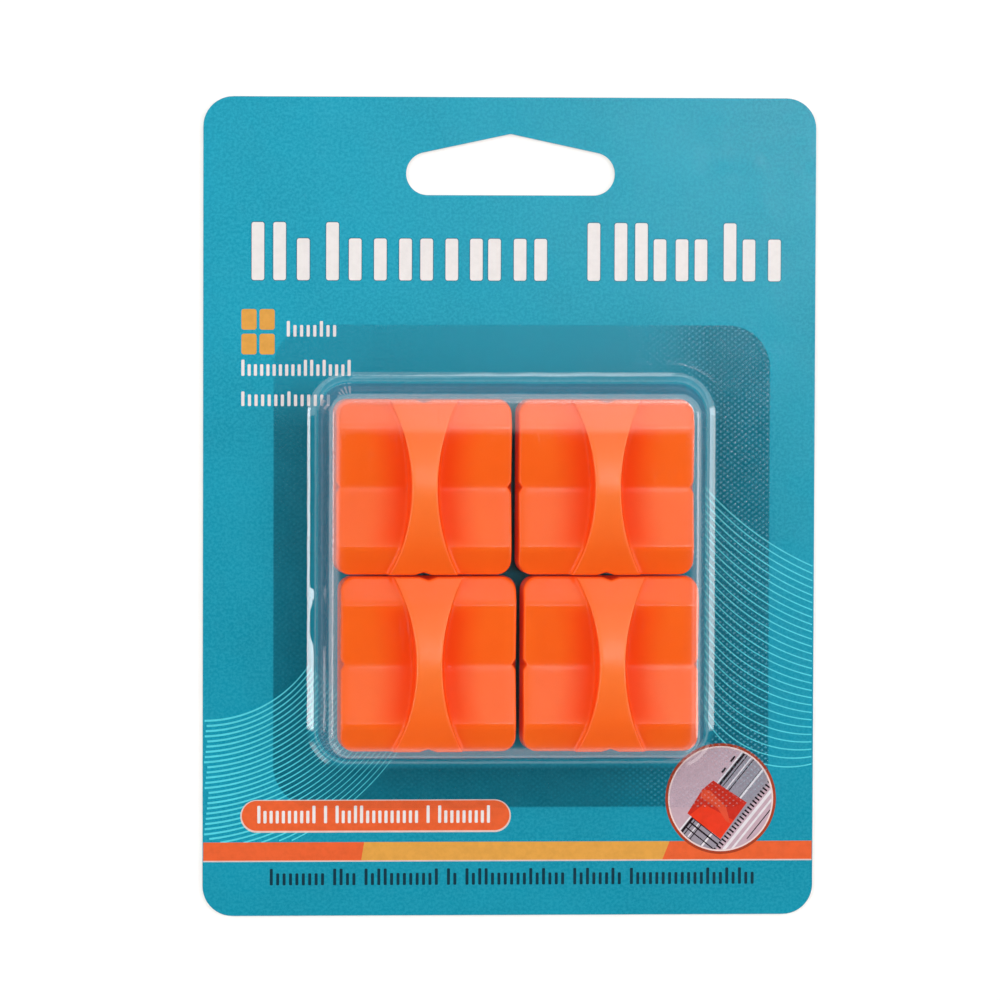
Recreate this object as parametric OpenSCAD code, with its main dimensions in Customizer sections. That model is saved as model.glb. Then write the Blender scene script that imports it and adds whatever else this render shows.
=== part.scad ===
// Carded blister pack of four press-to-cut blade cartridges for a rail-guided paper trimmer.
// Frame: origin at the middle of the card's back face, +Y towards the hang hole, +Z out of the card's front.
// All lengths are in millimetres.

/* [Card] */
// Width of the backing card
card_w = 122; // [116:1:130]
// Height of the backing card
card_h = 163; // [160:1:176]
// Thickness of the board
card_t = 0.6; // [0.4:0.1:1.2]
// Corner radius of the card
card_r = 6; // [2:0.5:10]
// Width of the hang hole, end to end
hang_w = 41.5; // [30:0.5:48]
// Height of the hang hole's rounded ends
hang_h = 8.5; // [6:0.5:10]
// Rise of the hang hole's peak above its rounded ends
hang_rise = 3.6; // [2:0.2:5]
// Distance from the card's top edge down to the middle of the rounded ends
hang_drop = 15.2; // [13:0.2:20]

/* [Blister] */
// Thickness of the clear formed sheet
sheet_t = 0.35; // [0.25:0.05:0.5]
// Pocket width where it leaves the flange
pocket_w = 81; // [80:0.5:84]
// Pocket height, along the card, where it leaves the flange
pocket_h = 78.4; // [77:0.2:80]
// Inward slope of each pocket wall, from flange to roof
pocket_draft = 2.9; // [1.5:0.1:3]
// Clear height inside the pocket, above the card
pocket_depth = 14.5; // [14.4:0.1:18]
// Width of the sealed flange on the left of the pocket
flange_left = 7; // [5:0.5:8]
// Width of the sealed flange on the right of the pocket
flange_right = 11; // [8:0.5:12]
// Width of the sealed flange above the pocket
flange_top = 9.8; // [8:0.2:12]
// Width of the sealed flange below the pocket
flange_bottom = 8; // [6:0.5:9]

/* [Cartridge] */
// Width of a cartridge, along the trimmer's rail
cap_w = 34.7; // [34.6:0.1:35.2]
// Length of a cartridge, across the trimmer's rail
cap_l = 34.7; // [34.4:0.1:35]
// Height of the grip ridge's crown
crown_z = 14; // [13.6:0.1:14]
// Width of the grip ridge at its waist
waist_w = 5; // [4:0.1:6]
// Radius of the arcs that shape the ridge in plan
ridge_arc_r = 37; // [34:1:40]
// How far the cap presses down
press_travel = 2.4; // [1.6:0.1:2.4]
// Distance between cartridge centres across the pack
pitch_x = 36.2; // [36:0.1:36.8]
// Distance between cartridge centres along the pack
pitch_y = 35.1; // [35.1:0.1:35.6]

/* [Blade and springs] */
// Thickness of the steel blade
blade_t = 0.4; // [0.3:0.05:0.5]
// Width of the blade, along the cut
blade_w = 12; // [10:0.5:12]
// Wire diameter of a return spring
wire_d = 0.36; // [0.3:0.02:0.4]
// Number of turns in a return spring
spring_turns = 5.5; // [4.5:0.5:6]

/* [Hidden] */

$fn = 64;
eps = 0.02;          // overshoot of cutting solids

// Where the pack's pieces sit
pocket_x = 0.5;      // pocket centre, from the card's centre
pocket_y = -12.7;
cluster = [1, -13.2];   // middle of the four cartridges, which lie loose in the roomy pocket
row_shift = 0.5;     // the rows lie this far off that middle, to opposite sides
seal_t = 0.05;       // heat-seal coating between card and flange
pocket_base_r = 8;
pocket_roof_r = 4;
flange_r = 8.5;

// Cartridge heights, above the card
base_floor_z = 3;    // underside of the base's floor, which is the rail channel's roof
base_floor_t = 1.4;
base_top = base_floor_z + base_floor_t;
skirt_z = 2.6;       // lower edge of the cap's skirt at rest
ceiling_z = 7.8;     // underside of the cap between the end slopes
eave_z = 7;          // underside of the cap below the end slopes
scoop_z = 8.9;       // valley line of a finger scoop
crest_z = 10.7;      // where a scoop meets its end slope
scoop_end_z = 7.6;   // outer edge of a scoop's end slope
ridge_knee_z = 12.2; // where the ridge's arch meets its end slope
ridge_end_z = 9.6;   // outer edge of the ridge's end slope
crest_y = 12.2;      // half the distance between the two crests
ridge_slope = (ridge_knee_z - ridge_end_z) / (cap_l / 2 - crest_y);   // fall beyond the crests
scoop_slope = (crest_z - scoop_end_z) / (cap_l / 2 - crest_y);

// Cap walls and fits
cap_r = 2.8;
skirt_t = 1.1;
slide_gap = 0.2;     // between skirt and base, on each side
base_w = cap_w - 2 * (skirt_t + slide_gap);
base_l = cap_l - 2 * (skirt_t + slide_gap);
base_r = cap_r - skirt_t - slide_gap;
side_notch = [0.7, 2.2];   // depth and width of the sight notches on the cutting line
end_notch = [0.6, 3.4];    // depth and width of the sight notches at the ridge's ends

// Base
channel_l = 25.2;    // width of the rail channel, across the rail
lip = 0.8;           // how far the runner lips reach into the channel
lip_z = [0.4, 1.2];
window = [13.4, 5.2];
stop_pad = [13, 10]; // places of the stop pads
stop_pad_r = 1.5;
stop_gap = 0.1;      // left between pad and cap at full press
barb = [4, 0.6, 0.8];      // width, depth and height of a snap barb
barb_x = 9;
barb_gap = 0.1;

// Blade and its fixing
blade_tip_z = 3.4;
blade_shoulder_z = 5.6;
blade_top_z = 7.7;
blade_bevel = 1;     // width of the ground bevel
blade_edge = 0.02;   // half thickness left at the edge
tip_half_w = 0.25;
peg_x = 3.6;
peg_z = 6.3;
peg_r = 0.55;
peg_head_r = 0.95;
peg_head_h = 0.4;
jaw_t = 1.5;         // thickness of the rib and of the clamp, either side of the blade
jaw_z = 5;
jaw_gap = 0.03;      // between blade and jaw

// Springs
spring_y = 11;
spring_r = 1.9;      // mean radius of the coil
spring_pocket_r = 2.5;
spring_top_z = 10.9;
spring_gap = 0.03;   // at each end of the spring
spring_peg_r = 1.2;
spring_peg_h = 2.6;

// ---------------------------------------------------------------- plain shapes

// Rounded rectangle made of whole circles and squares, centred.
module round_rect(w, l, r) {
    square([w - 2 * r, l], center = true);
    square([w, l - 2 * r], center = true);
    for (sx = [-1, 1], sy = [-1, 1])
        translate([sx * (w / 2 - r), sy * (l / 2 - r)]) circle(r);
}

// Upright plate with a rounded outline, standing on z.
module round_plate(w, l, r, z, h) {
    translate([0, 0, z]) linear_extrude(h) round_rect(w, l, r);
}

// Outline in the YZ plane, pushed out along X to both sides.
module along_x(w) {
    translate([-w / 2, 0, 0]) rotate([90, 0, 90]) linear_extrude(w) children();
}

// Radius of a circle that rises by s over a half chord c.
function arc_radius(c, s) = (c * c + s * s) / (2 * s);

// ---------------------------------------------------------------- card and blister

module hang_hole() {
    r = hang_h / 2;
    peak_r = 1.6;
    translate([0, card_h / 2 - hang_drop, -1]) linear_extrude(card_t + 2) hull() {
        for (s = [-1, 1]) translate([s * (hang_w / 2 - r), 0]) circle(r);
        translate([0, r + hang_rise - peak_r]) circle(peak_r);
    }
}

module backing_card() {
    color("darkcyan") difference() {
        round_plate(card_w, card_h, card_r, 0, card_t);
        hang_hole();
    }
}

// Tapered block that fills the pocket up to the given inset from its outer face.
module pocket_block(inset, z_low, z_high) {
    translate([pocket_x, pocket_y, 0]) hull() {
        round_plate(pocket_w - 2 * inset, pocket_h - 2 * inset, pocket_base_r - inset, z_low, 0.01, $fn = 48);
        round_plate(pocket_w - 2 * (pocket_draft + inset), pocket_h - 2 * (pocket_draft + inset),
            pocket_roof_r - inset, z_high - 0.01, 0.01, $fn = 48);
    }
}

module blister_shell() {
    flange_w = pocket_w + flange_left + flange_right;
    flange_l = pocket_h + flange_top + flange_bottom;
    low = card_t + seal_t;
    roof = card_t + pocket_depth;
    color("lightcyan", 0.35) difference() {
        union() {
            translate([pocket_x + (flange_right - flange_left) / 2, pocket_y + (flange_top - flange_bottom) / 2, 0])
                round_plate(flange_w, flange_l, flange_r, low, sheet_t);
            pocket_block(0, low, roof + sheet_t);
        }
        pocket_block(sheet_t, low - eps, roof);
    }
}

// ---------------------------------------------------------------- cap

// Side view of the cap's outer block: the end slopes, carried up to a gable, under the arch of the crown.
module cap_side_view() {
    crown_r = arc_radius(crest_y, crown_z - ridge_knee_z);
    end = cap_l / 2;
    intersection() {
        polygon([[-end, skirt_z], [end, skirt_z], [end, ridge_end_z],
            [0, ridge_end_z + ridge_slope * end], [-end, ridge_end_z]]);
        translate([0, crown_z - crown_r]) circle(crown_r, $fn = 128);
    }
}

// Side view of the space above a finger scoop: a shallow valley, opened out by two end slopes.
module scoop_side_view() {
    top = crown_z + 2;
    out = cap_l / 2 + 1;
    out_z = crest_z - scoop_slope * (out - crest_y);
    polygon([[0, scoop_z], [crest_y, crest_z], [out, out_z], [out, top],
        [-out, top], [-out, out_z], [-crest_y, crest_z]]);
}

module scoops() {
    for (s = [-1, 1]) intersection() {
        translate([s * (waist_w / 2 + ridge_arc_r), 0, 0]) cylinder(h = crown_z + 2, r = ridge_arc_r, $fn = 128);
        along_x(cap_w + 2) scoop_side_view();
    }
}

// Upright V groove with its point at p, opening outwards along direction a.
module sight_notch(p, a, size) {
    translate([p.x, p.y, 0]) rotate(a) linear_extrude(crown_z + 1)
        polygon([[0, 0], [size.x + 1, (size.x + 1) * size.y / (2 * size.x)],
            [size.x + 1, -(size.x + 1) * size.y / (2 * size.x)]]);
}

module sight_notches() {
    for (a = [0, 180]) sight_notch(cap_w / 2 * [cos(a), 0] - side_notch.x * [cos(a), 0], a, side_notch);
    for (a = [90, 270]) sight_notch(cap_l / 2 * [0, sin(a)] - end_notch.x * [0, sin(a)], a, end_notch);
}

module cap_hollow() {
    inner_w = cap_w - 2 * skirt_t;
    inner_l = cap_l - 2 * skirt_t;
    round_plate(inner_w, inner_l, cap_r - skirt_t, skirt_z - 1, eave_z - skirt_z + 1);
    intersection() {
        round_plate(inner_w, inner_l, cap_r - skirt_t, eave_z - eps, ceiling_z - eave_z + eps);
        translate([-cap_w / 2, -crest_y, 0]) cube([cap_w, 2 * crest_y, crown_z]);
    }
    for (s = [-1, 1]) translate([0, s * spring_y, eave_z - eps])
        cylinder(h = spring_top_z - eave_z + eps, r = spring_pocket_r);
}

// Rib that the blade lies against, and the two staked pegs that carry blade and clamp.
module blade_rib() {
    face = blade_t / 2 + jaw_gap;
    back = -face - jaw_t;
    translate([-blade_w / 2, face, jaw_z]) cube([blade_w, jaw_t, ceiling_z + eps - jaw_z]);
    for (s = [-1, 1]) translate([s * peg_x, 0, peg_z]) rotate([90, 0, 0]) {
        translate([0, 0, -face - eps]) cylinder(h = face - back + jaw_gap + 2 * eps, r = peg_r, $fn = 32);
        translate([0, 0, jaw_gap - back]) cylinder(h = peg_head_h, r = peg_head_r, $fn = 32);
    }
}

module snap_barbs() {
    for (sx = [-1, 1], sy = [-1, 1])
        translate([sx * barb_x - barb.x / 2, sy * (cap_l / 2 - skirt_t - barb.y / 2 + eps) - barb.y / 2, skirt_z])
            cube(barb);
}

module press_cap() {
    color("orangered") {
        difference() {
            intersection() {
                along_x(cap_w) cap_side_view();
                round_plate(cap_w, cap_l, cap_r, skirt_z, crown_z);
            }
            scoops();
            sight_notches();
            cap_hollow();
        }
        blade_rib();
        snap_barbs();
    }
}

// ---------------------------------------------------------------- base

module runner_lips() {
    for (s = [-1, 1]) translate([-base_w / 2 + base_r, s * (channel_l / 2 - lip / 2) - lip / 2 - eps / 2, lip_z[0]])
        cube([base_w - 2 * base_r, lip + eps, lip_z[1] - lip_z[0]]);
}

module barb_grooves() {
    groove = [barb.x + 0.6, barb.y + 0.1, skirt_z + barb.z + barb_gap];
    for (sx = [-1, 1], sy = [-1, 1])
        translate([sx * barb_x - groove.x / 2, sy * (base_l / 2 - groove.y / 2 + 0.5) - groove.y / 2 - 0.5, -eps])
            cube([groove.x, groove.y + 1, groove.z + eps]);
}

module slide_base() {
    pad_h = ceiling_z - base_top - press_travel - stop_gap;
    color("coral") difference() {
        union() {
            difference() {
                round_plate(base_w, base_l, base_r, 0, base_top);
                translate([-base_w / 2 - 1, -channel_l / 2, -1]) cube([base_w + 2, channel_l, base_floor_z + 1]);
            }
            runner_lips();
            for (sx = [-1, 1], sy = [-1, 1]) translate([sx * stop_pad.x, sy * stop_pad.y, base_top - eps])
                cylinder(h = pad_h + eps, r = stop_pad_r);
            for (s = [-1, 1]) translate([0, s * spring_y, base_top - eps])
                cylinder(h = spring_peg_h + eps, r = spring_peg_r);
        }
        translate([-window.x / 2, -window.y / 2, base_floor_z - 1]) cube([window.x, window.y, base_floor_t + 2]);
        barb_grooves();
    }
}

// ---------------------------------------------------------------- blade and clamp

// Wedge that grinds one bevel along a cutting edge that runs from the tip to a shoulder.
module bevel_cutter() {
    run = [blade_w / 2 - tip_half_w, blade_shoulder_z - blade_tip_z];
    slope = atan2(run.y, run.x);
    rise = (blade_t / 2 - blade_edge) / blade_bevel;
    low = -1;
    high = blade_bevel + 0.2;
    translate([tip_half_w, 0, blade_tip_z]) rotate([0, -slope, 0]) translate([-2, 0, 0])
        rotate([90, 0, 90]) linear_extrude(norm(run) + 4)
            polygon([[blade_edge + rise * low, low], [blade_edge + rise * high, high], [2, high], [2, low]]);
}

module blade() {
    half = blade_w / 2;
    color("silver") difference() {
        translate([0, blade_t / 2, 0]) rotate([90, 0, 0]) linear_extrude(blade_t)
            polygon([[-half, blade_top_z], [half, blade_top_z], [half, blade_shoulder_z], [tip_half_w, blade_tip_z],
                [-tip_half_w, blade_tip_z], [-half, blade_shoulder_z]]);
        for (mx = [0, 1], my = [0, 1]) mirror([mx, 0, 0]) mirror([0, my, 0]) bevel_cutter();
        for (s = [-1, 1]) translate([s * peg_x, 0, peg_z]) rotate([90, 0, 0])
            cylinder(h = 2, r = peg_r + 0.1, center = true, $fn = 32);
    }
}

module blade_clamp() {
    face = blade_t / 2 + jaw_gap;
    color("tomato") difference() {
        translate([-blade_w / 2, -face - jaw_t, jaw_z]) cube([blade_w, jaw_t, blade_top_z - jaw_z]);
        for (s = [-1, 1]) translate([s * peg_x, 0, peg_z]) rotate([90, 0, 0])
            cylinder(h = 4, r = peg_r + 0.05, $fn = 32);
    }
}

// ---------------------------------------------------------------- springs

// Height share of the coil after t turns: closed ends, open middle.
function coil_rise(t, n, low, high, d) =
    t < 1 ? low + d * t :
    t > n - 1 ? high - d * (n - t) :
    low + d + (high - low - 2 * d) * (t - 1) / (n - 2);

module spring() {
    sides = 6;
    per_turn = 12;
    rings = round(spring_turns * per_turn);
    low = base_top + spring_gap + wire_d / 2;
    high = spring_top_z - spring_gap - wire_d / 2;
    points = [for (i = [0 : rings], k = [0 : sides - 1])
        let (t = i / per_turn, a = 360 * t, b = 360 * k / sides, r = spring_r + wire_d / 2 * cos(b))
        [r * cos(a), r * sin(a), coil_rise(t, spring_turns, low, high, wire_d * 1.02) + wire_d / 2 * sin(b)]];
    walls = [for (i = [0 : rings - 1], k = [0 : sides - 1])
        let (k2 = (k + 1) % sides, a = i * sides, b = a + sides)
        each [[a + k, a + k2, b + k], [a + k2, b + k2, b + k]]];
    start = [for (k = [1 : sides - 2]) [0, k + 1, k]];
    last = rings * sides;
    end = [for (k = [1 : sides - 2]) [last, last + k, last + k + 1]];
    color("gainsboro") polyhedron(points, concat(walls, start, end));
}

// ---------------------------------------------------------------- assembly

// Place of cartridge i, 1 to 4, counted along the upper row and then the lower row.
module at_cartridge(i) {
    col = (i - 1) % 2;
    row = floor((i - 1) / 2);
    translate([cluster.x + (col - 0.5) * pitch_x + (row == 0 ? -row_shift : row_shift),
        cluster.y + (0.5 - row) * pitch_y, card_t]) children();
}

backing_card();
blister_shell();
for (i = [1 : 4]) {
    at_cartridge(i) press_cap();
    at_cartridge(i) slide_base();
    at_cartridge(i) blade();
    at_cartridge(i) blade_clamp();
    at_cartridge(i) translate([0, spring_y, 0]) spring();
    at_cartridge(i) translate([0, -spring_y, 0]) spring();
}
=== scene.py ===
"""Looks of a hanging blister pack: printed card, clear formed blister and four orange blade cartridges."""

from math import asin, copysign, cos, pi, radians as deg, sin, sqrt, tan

import bpy
import numpy as np
from mathutils import Matrix, Vector


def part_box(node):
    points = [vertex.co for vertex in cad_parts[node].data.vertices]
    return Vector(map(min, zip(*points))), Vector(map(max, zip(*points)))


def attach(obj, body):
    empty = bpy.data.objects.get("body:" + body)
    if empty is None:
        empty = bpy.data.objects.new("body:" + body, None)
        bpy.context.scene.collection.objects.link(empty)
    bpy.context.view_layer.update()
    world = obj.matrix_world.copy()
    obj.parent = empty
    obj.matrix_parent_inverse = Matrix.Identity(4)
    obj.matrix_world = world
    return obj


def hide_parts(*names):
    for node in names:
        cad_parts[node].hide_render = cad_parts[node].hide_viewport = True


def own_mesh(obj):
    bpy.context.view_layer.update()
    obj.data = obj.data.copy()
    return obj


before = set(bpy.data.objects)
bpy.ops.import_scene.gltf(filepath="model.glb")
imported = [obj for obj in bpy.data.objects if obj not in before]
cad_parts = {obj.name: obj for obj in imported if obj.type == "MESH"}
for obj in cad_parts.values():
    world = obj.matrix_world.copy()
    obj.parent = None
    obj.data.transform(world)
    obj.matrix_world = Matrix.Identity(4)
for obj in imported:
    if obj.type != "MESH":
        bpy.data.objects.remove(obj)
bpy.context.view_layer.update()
MM = 0.001
CARTRIDGES = (1, 2, 3, 4)

# ---- camera

CAMERA_TARGET = Vector((-1.9, 1.45, 0.6))
CAMERA_SLOPE = Vector((-0.0655, 0.0458, 1.0))
CAMERA_DISTANCE = 1300.0
CAMERA_LENS = 235.1
CAMERA_ROLL = deg(0.186)


def make_camera():
    away = CAMERA_SLOPE.normalized()
    right = (-away).cross(Vector((0, 1, 0))).normalized()
    up = right.cross(-away)
    rolled_right = cos(CAMERA_ROLL) * right + sin(CAMERA_ROLL) * up
    rolled_up = cos(CAMERA_ROLL) * up - sin(CAMERA_ROLL) * right
    data = bpy.data.cameras.new("camera")
    data.lens = CAMERA_LENS
    data.sensor_width = 36
    data.dof.use_dof = False
    data.clip_start = 0.1
    data.clip_end = 20
    camera = bpy.data.objects.new("camera", data)
    bpy.context.scene.collection.objects.link(camera)
    turn = Matrix((rolled_right, rolled_up, away)).transposed().to_4x4()
    place = (CAMERA_TARGET + CAMERA_DISTANCE * away) * MM
    camera.matrix_world = Matrix.Translation(place) @ turn
    bpy.context.scene.camera = camera


# ---- shader helpers


class Shader:
    """One node tree, with short calls for the nodes used here."""

    def __init__(self, name, world=None):
        self.owner = world or bpy.data.materials.new(name)
        self.owner.use_nodes = True
        self.tree = self.owner.node_tree
        self.tree.nodes.clear()
        self.output = self.add("OutputWorld" if world else "OutputMaterial")
        self.coordinates = self.add("TexCoord").outputs
        self.place = self.coordinates["Object"]

    def add(self, kind, inputs=None, **settings):
        """Makes a node; an input is linked if its value is a socket and set if it is a constant."""
        node = self.tree.nodes.new("ShaderNode" + kind)
        for key, value in settings.items():
            setattr(node, key, value)
        for key, value in (inputs or {}).items():
            if isinstance(value, bpy.types.NodeSocket):
                self.tree.links.new(value, node.inputs[key])
            else:
                node.inputs[key].default_value = value
        return node

    def finish(self, surface):
        self.tree.links.new(surface.outputs[0], self.output.inputs["Surface"])
        return self.owner

    def math(self, operation, a, b=0.0, c=0.0, clamp=False):
        return self.add("Math", {0: a, 1: b, 2: c}, operation=operation, use_clamp=clamp).outputs[0]

    def times(self, a, b):
        return self.math("MULTIPLY", a, b)

    def plus(self, a, b, clamp=False):
        return self.math("ADD", a, b, clamp=clamp)

    def minus(self, a, b):
        return self.math("SUBTRACT", a, b)

    def ramp(self, value, low, high, out_low=0.0, out_high=1.0):
        inputs = {"Value": value, "From Min": low, "From Max": high, "To Min": out_low, "To Max": out_high}
        return self.add("MapRange", inputs, clamp=True).outputs["Result"]

    def window(self, value, rise, fall, peak=1.0):
        """Number that climbs from 0 over the first span and sinks back over the second."""
        return self.times(self.ramp(value, *rise, 0.0, peak), self.ramp(value, *fall, 1.0, 0.0))

    def moved(self, scale, turn=0.0):
        inputs = {"Vector": self.place, "Rotation": (0, 0, turn), "Scale": scale}
        return self.add("Mapping", inputs).outputs["Vector"]

    def noise(self, size_mm, detail=2.0, rough=0.5, place=None):
        inputs = {"Vector": place or self.place, "Detail": detail, "Roughness": rough}
        return self.add("TexNoise", {**inputs, "Scale": 1 / (size_mm * MM)}).outputs["Fac"]

    def mottle(self, size_mm, low, high, detail=2.0):
        """Number that wanders between low and high over patches of the given size."""
        return self.ramp(self.noise(size_mm, detail), 0.3, 0.7, low, high)

    def split(self, vector):
        return self.add("SeparateXYZ", {0: vector}).outputs

    def stored(self, name):
        return self.add("Attribute", attribute_name=name).outputs["Fac"]

    def colours(self, value, stops):
        """Colour ramp over a value; stops are (position, (r, g, b))."""
        node = self.add("ValToRGB", {"Fac": value})
        ramp = node.color_ramp
        while len(ramp.elements) < len(stops):
            ramp.elements.new(0.5)
        for element, (position, colour) in zip(ramp.elements, stops):
            element.position = position
            element.color = (*colour, 1)
        return node.outputs["Color"]

    def mix_colour(self, factor, a, b):
        a, b = ((*colour, 1) if isinstance(colour, tuple) else colour for colour in (a, b))
        inputs = {"Factor": factor, "A": a, "B": b}
        return self.add("Mix", inputs, data_type="RGBA", clamp_factor=True).outputs["Result"]

    def bump(self, height, depth_mm, under=None):
        inputs = {"Strength": 1.0, "Distance": depth_mm * MM, "Height": height}
        if under is not None:
            inputs["Normal"] = under
        return self.add("Bump", inputs).outputs["Normal"]

    def surface(self, kind, **inputs):
        """Surface node of a kind; an underscore in an input's name stands for a space."""
        return self.add("Bsdf" + kind, {key.replace("_", " "): inputs[key] for key in inputs})

    def blend(self, share, first, second):
        return self.add("MixShader", {0: share, 1: first.outputs[0], 2: second.outputs[0]})

    def principled(self, colour, roughness, normal, **constants):
        inputs = {"Base_Color": colour, "Roughness": roughness, "Normal": normal, **constants}
        return self.finish(self.surface("Principled", **inputs))


def scaled(colour, factor):
    return tuple(c * factor for c in colour)


# ---- materials

CARD_TEAL = (0.007, 0.284, 0.414)
SPECKLE_TEAL = (0.024, 0.40, 0.54)
# dark print that the seal's darkening and the painted light falloff mix towards, and the share of that
# darkening
WET_AND_SHADE_PRINT = (0.0, 0.004, 0.008)
VARNISH = {"IOR": 1.5, "Specular_IOR_Level": 0.13}
BOARD = (0.74, 0.72, 0.68)
WET_AND_SHADE_DARK = 0.46
KNURL_PITCH = 0.88
KNURL_TURN = deg(52)
POCKET_MIDDLE, POCKET_HALF, POCKET_CORNER = (0.5, -12.7), (40.5, 39.2), 8.0
FLANGE_MIDDLE, FLANGE_HALF, FLANGE_CORNER = (2.5, -11.8), (49.5, 48.1), 8.5


def card_bumps(s):
    """Fine pressed grain of the varnished board, with long shallow waves under it."""
    waves = s.bump(s.noise(9.0, 1.0), 0.04)
    streaks = s.noise(0.9, 2.0, 0.6, s.moved((1.0, 0.40, 1.0)))
    return s.bump(streaks, 0.010, waves)


def outline_distance(s, middle, half, corner):
    """Distance in metres outside a rounded rectangle that lies in the card's plane."""
    place = s.split(s.place)
    reach = []
    for axis, centre, size in zip(("X", "Y"), middle, half):
        away = s.math("ABSOLUTE", s.minus(place[axis], centre * MM))
        reach.append(s.minus(away, (size - corner) * MM))
    over = [s.math("MAXIMUM", value, 0.0) for value in reach]
    squared = s.plus(s.times(over[0], over[0]), s.times(over[1], over[1]))
    inside = s.math("MINIMUM", s.math("MAXIMUM", reach[0], reach[1]), 0.0)
    return s.minus(s.plus(s.math("SQRT", squared), inside), corner * MM)


def knurl(s):
    """Diamond grid of raised dots left by the heated sealing tool, sharp on the right and faint elsewhere."""
    place = s.split(s.place)
    turns = 2 * pi / (KNURL_PITCH * MM)
    across = s.times(place["X"], turns * cos(KNURL_TURN))
    along = s.times(place["Y"], turns * sin(KNURL_TURN))
    waves = s.plus(across, along), s.minus(across, along)
    dots = s.times(*(s.math("MULTIPLY_ADD", s.math("COSINE", wave), 0.5, 0.5) for wave in waves))
    pressed = s.ramp(place["X"], 16 * MM, 36 * MM, 0.16, 1.0)
    return s.times(dots, s.times(pressed, s.ramp(s.noise(8.0), 0.35, 0.60, 0.72, 1.0)))


def seal_and_shade_tone(s):
    """Brightness left in the print: painted light falloff darkens it downwards, and under the flange wet-out
    mixed with painted shade darkens it, weakly at the top as painted light.
    """
    past_flange = outline_distance(s, FLANGE_MIDDLE, FLANGE_HALF, FLANGE_CORNER)
    past_pocket = outline_distance(s, POCKET_MIDDLE, POCKET_HALF, POCKET_CORNER)
    in_flange = s.ramp(past_flange, -0.2 * MM, 0.1 * MM, 1.0, 0.0)
    sealed = s.times(in_flange, s.ramp(past_pocket, -0.7 * MM, 0.5 * MM))
    place = s.split(s.place)
    # the seal's wet-out darkening, partly painted shade; it is weakened towards the top as painted light from
    # the key, though not towards the right
    wet_and_shade = s.math("MAXIMUM", s.ramp(place["Y"], 15 * MM, 27 * MM, 1.0, 0.32),
                 s.ramp(place["X"], 22 * MM, 40 * MM, 0.0, 1.0))
    dry_dots = s.math("MULTIPLY_ADD", knurl(s), -0.95, 1.0)
    patchy = s.mottle(5.0, 0.92 * (1 - WET_AND_SHADE_DARK), 1.0 - WET_AND_SHADE_DARK)
    loss = s.times(sealed, s.times(wet_and_shade, s.times(dry_dots, patchy)))
    # painted light falloff: the print darkens towards the bottom, away from the key light
    shade_falloff = s.ramp(place["Y"], -60 * MM, 60 * MM, 0.84, 1.0)
    return s.times(s.minus(1.0, loss), shade_falloff)


def printed_card():
    """Teal print under varnish on the front, bare board on the cut edges and the back."""
    s = Shader("printed_card")
    cloud = s.noise(22.0, 3.0, 0.55)
    grain = s.noise(0.56, 2.0, 0.6)
    print_tone = s.colours(cloud, [(0.30, scaled(CARD_TEAL, 0.93)), (0.70, scaled(CARD_TEAL, 1.06))])
    speckled = s.mix_colour(s.ramp(grain, 0.38, 0.62, 0.0, 0.50), print_tone, SPECKLE_TEAL)
    print_colour = s.mix_colour(seal_and_shade_tone(s), WET_AND_SHADE_PRINT, speckled)
    fibres = s.noise(0.5, 4.0, 0.7, s.moved((1.0, 0.2, 1.0), 0.35))
    board_colour = s.colours(fibres, [(0.25, scaled(BOARD, 0.82)), (0.75, BOARD)])
    facing = s.split(s.add("NewGeometry").outputs["Normal"])
    is_front = s.ramp(facing["Z"], 0.80, 0.92)
    colour = s.mix_colour(is_front, board_colour, print_colour)
    sheen = s.mottle(3.0, 0.13, 0.19)
    roughness = s.plus(sheen, s.ramp(facing["Z"], 0.80, 0.92, 0.45, 0.0))
    return s.principled(colour, roughness, card_bumps(s), **VARNISH)


def ink(name, colour, worn=0.10):
    """Printed ink over the varnished grain, a little uneven in its cover."""
    s = Shader("ink_" + name)
    tone = s.colours(s.noise(1.4, 3.0, 0.6), [(0.30, scaled(colour, 1 - worn)), (0.62, colour)])
    return s.principled(tone, s.mottle(2.5, 0.14, 0.23), card_bumps(s), **VARNISH)


INK_COLOURS = {
    "yellow": (0.70, 0.335, 0.063),
    "orange": (0.75, 0.115, 0.032),
    "pale": (0.70, 0.55, 0.50),
    "dark": (0.006, 0.035, 0.055),
    "edge_teal": (0.012, 0.15, 0.21),
    "cyan": (0.085, 0.62, 0.72),
    "rust": (0.36, 0.05, 0.02),
    "pale_pink": (0.80, 0.62, 0.60),
    "mauve": (0.52, 0.37, 0.43),
    "rail_grey": (0.30, 0.27, 0.32),
    "rail_light": (0.72, 0.68, 0.72),
    "rail_dark": (0.015, 0.008, 0.012),
    "cutter": (0.76, 0.042, 0.014),
    "cutter_dark": (0.55, 0.026, 0.013),
    "cutter_light": (0.72, 0.075, 0.032),
}

# paler orange of the painted sheen on the ridge, deeper orange of the painted shade in the dishes
RIDGE_SHEEN_ORANGE = (0.98, 0.190, 0.032)
DISH_SHADE_ORANGE = (0.93, 0.070, 0.004)


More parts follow.
